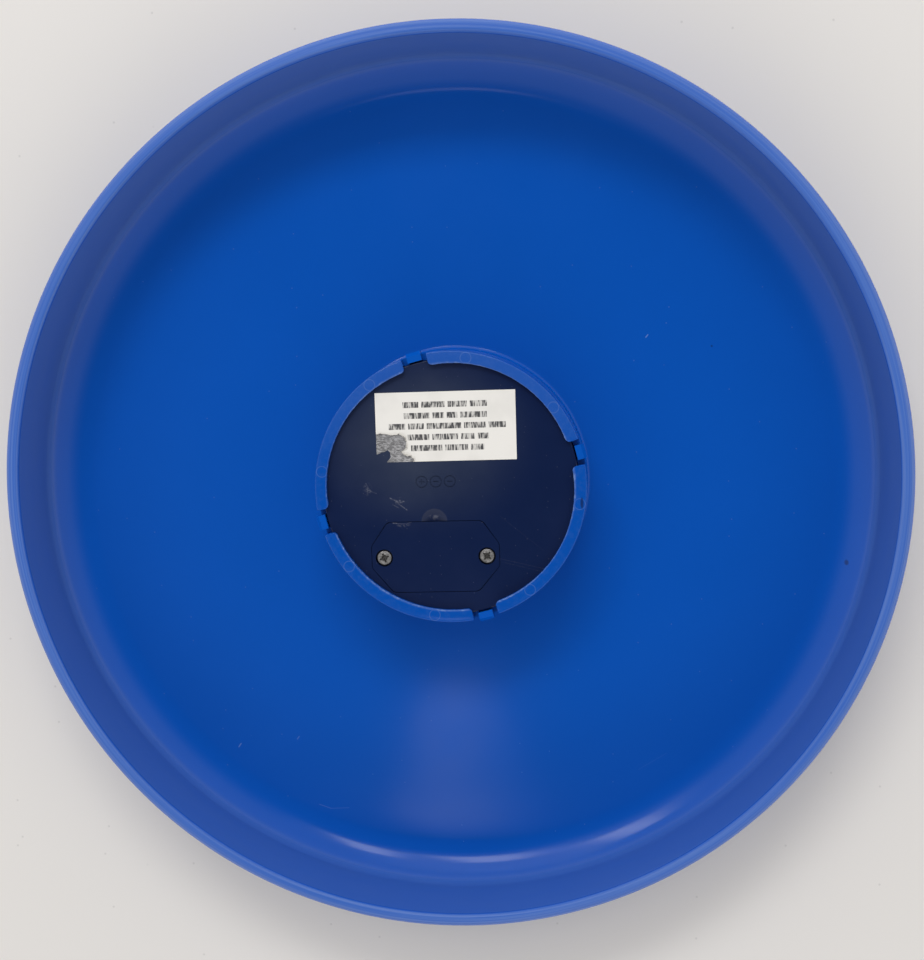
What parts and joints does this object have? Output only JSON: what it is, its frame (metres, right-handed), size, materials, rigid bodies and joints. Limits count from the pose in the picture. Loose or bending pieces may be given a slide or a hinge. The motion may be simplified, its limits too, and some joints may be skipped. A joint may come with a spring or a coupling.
{
  "type": "flying disc with voice module",
  "caption": "Round moulded flying disc lying on its crown, with a deep rim and a central collar that holds a black push-button voice module with a battery door.",
  "frame": {"origin": "centre of the crown's resting plane, on the spin axis", "axes": "+Z along the spin axis, out of the open underside; +Y from the module's axis towards the paper label; +X to the right when looking down into the underside"},
  "size_m": [0.25, 0.25, 0.03],
  "materials": {
    "disc_blue": "moulded polyethylene, satin gloss",
    "module_black": "moulded ABS, semi-gloss near black",
    "screw_steel": "nickel-plated steel",
    "label_paper": "uncoated off-white paper",
    "key_grey": "moulded plastic, matte",
    "key_red": "moulded plastic, matte",
    "cell_steel": "nickel-plated steel",
    "contact_steel": "tinned spring steel",
    "film_yellow": "thin translucent film",
    "board_green": "solder-masked laminate",
    "resin_black": "epoxy resin",
    "capacitor_sleeve": "sleeved aluminium can",
    "ceramic_chip": "surface-mounted parts",
    "switch_plastic": "moulded plastic",
    "rubber_black": "soft rubber",
    "foam_grey": "soft foam ring",
    "speaker_steel": "pressed steel",
    "ferrite": "sintered ferrite",
    "coil_copper": "wound enamelled wire",
    "cone_film": "thin moulded film",
    "terminal_board": "phenolic laminate",
    "wire_red": "insulated wire",
    "wire_black": "insulated wire"
  },
  "bodies": {
    "disc": {"disc_shell": "disc_blue", "latch_ring": "disc_blue", "front_housing": "module_black", "back_cover": "module_black", "housing_screws": "screw_steel", "board_screws": "screw_steel", "paper_label": "label_paper", "button_cells": "cell_steel", "positive_contact": "contact_steel", "negative_contact": "contact_steel", "contact_spring": "contact_steel", "battery_pull_strip": "film_yellow", "circuit_board": "board_green", "chip_blob": "resin_black", "electrolytic_capacitor": "capacitor_sleeve", "chip_resistors": "ceramic_chip", "switch_bases": "switch_plastic", "switch_plates": "contact_steel", "microphone_capsule": "contact_steel", "microphone_boot": "rubber_black", "speaker_gasket": "foam_grey", "speaker_frame": "speaker_steel", "speaker_magnet": "ferrite", "speaker_yoke": "speaker_steel", "voice_coil": "coil_copper", "speaker_cone": "cone_film", "speaker_terminals": "terminal_board", "speaker_wire_red": "wire_red", "speaker_wire_black": "wire_black"},
    "battery_door": {"battery_door": "module_black", "door_screws": "screw_steel"},
    "play_button": {"play_button": "key_grey", "play_plunger": "switch_plastic"},
    "record_button": {"record_button": "key_red", "record_plunger": "switch_plastic"}
  },
  "joints": [
    {"name": "door_lift", "type": "slide", "parent": "disc", "child": "battery_door", "axis": [0, 0, 1], "range_m": [0, 0.04]},
    {"name": "play_press", "type": "slide", "parent": "disc", "child": "play_button", "axis": [0, 0, 1], "range_m": [0, 0.0006], "stiffness_N_per_m": 800},
    {"name": "record_press", "type": "slide", "parent": "disc", "child": "record_button", "axis": [0, 0, 1], "range_m": [0, 0.0006], "stiffness_N_per_m": 800}
  ]
}
